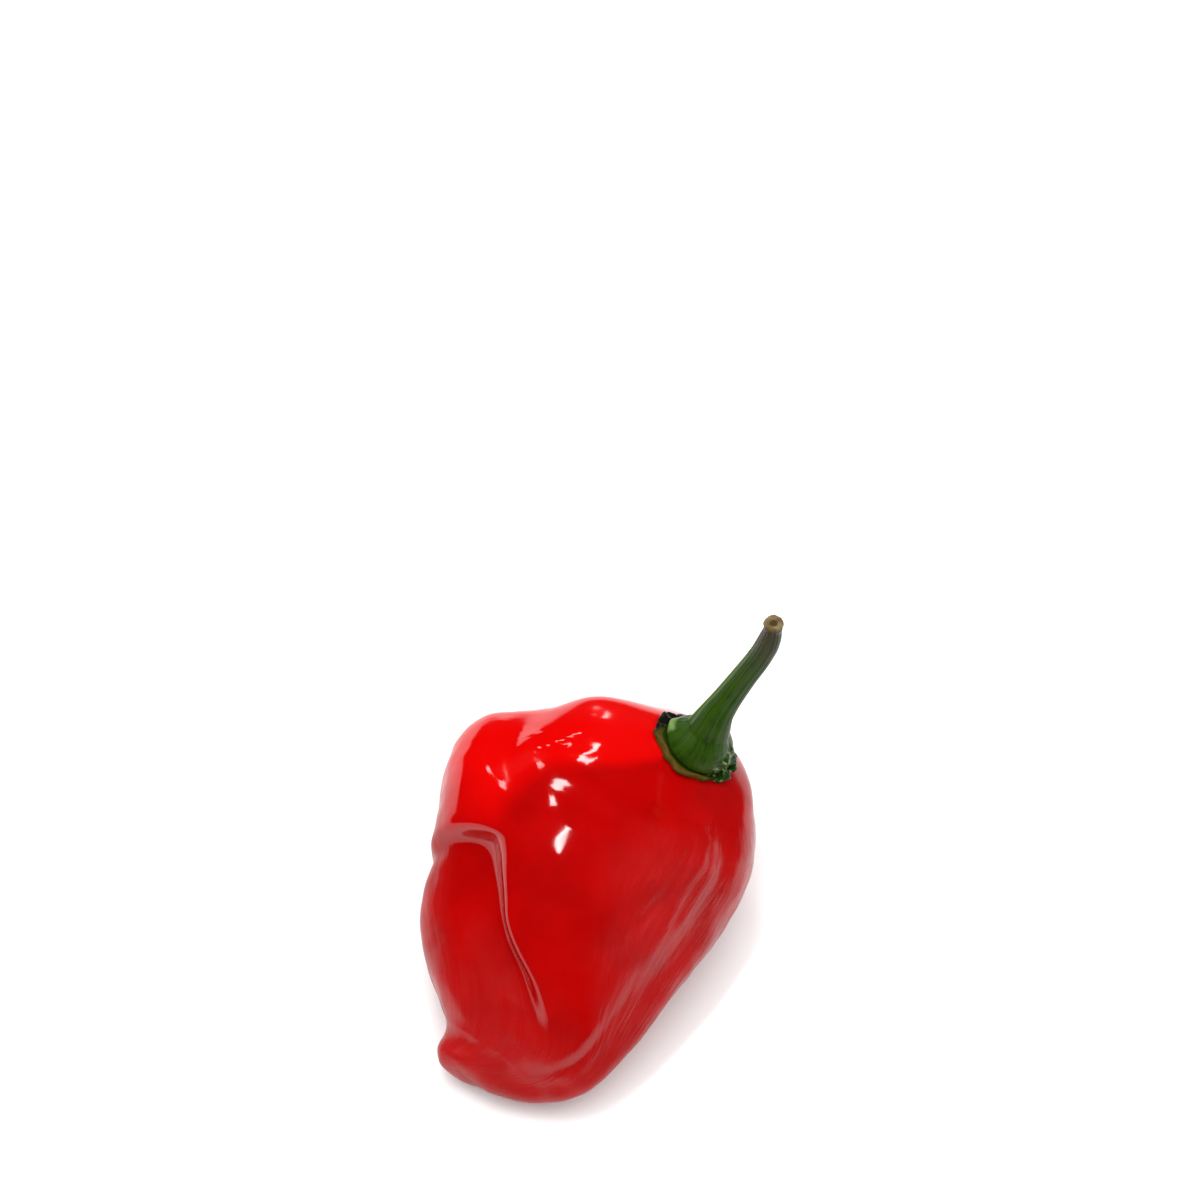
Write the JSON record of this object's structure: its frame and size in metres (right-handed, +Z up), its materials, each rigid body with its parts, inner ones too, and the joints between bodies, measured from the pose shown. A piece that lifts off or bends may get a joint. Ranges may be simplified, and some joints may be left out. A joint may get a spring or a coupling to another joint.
{
  "type": "habanero pepper",
  "caption": "Ripe red habanero pepper, squat and deeply folded, with a short nipple at its tip and its green calyx and curved stem, lying on its side.",
  "frame": {"origin": "on the resting plane, under the middle of the whole pepper's bounding box", "axes": "+X from the blossom end towards the stem end, the longest extent; +Y to the left looking along +X; +Z up"},
  "size_m": [0.057, 0.041, 0.0404],
  "materials": {
    "red_skin": "very glossy, waxy red skin",
    "green_stem": "satin green, woody stem"
  },
  "bodies": {
    "root": {"pod": "red_skin", "calyx_and_stem": "green_stem"}
  },
  "joints": []
}
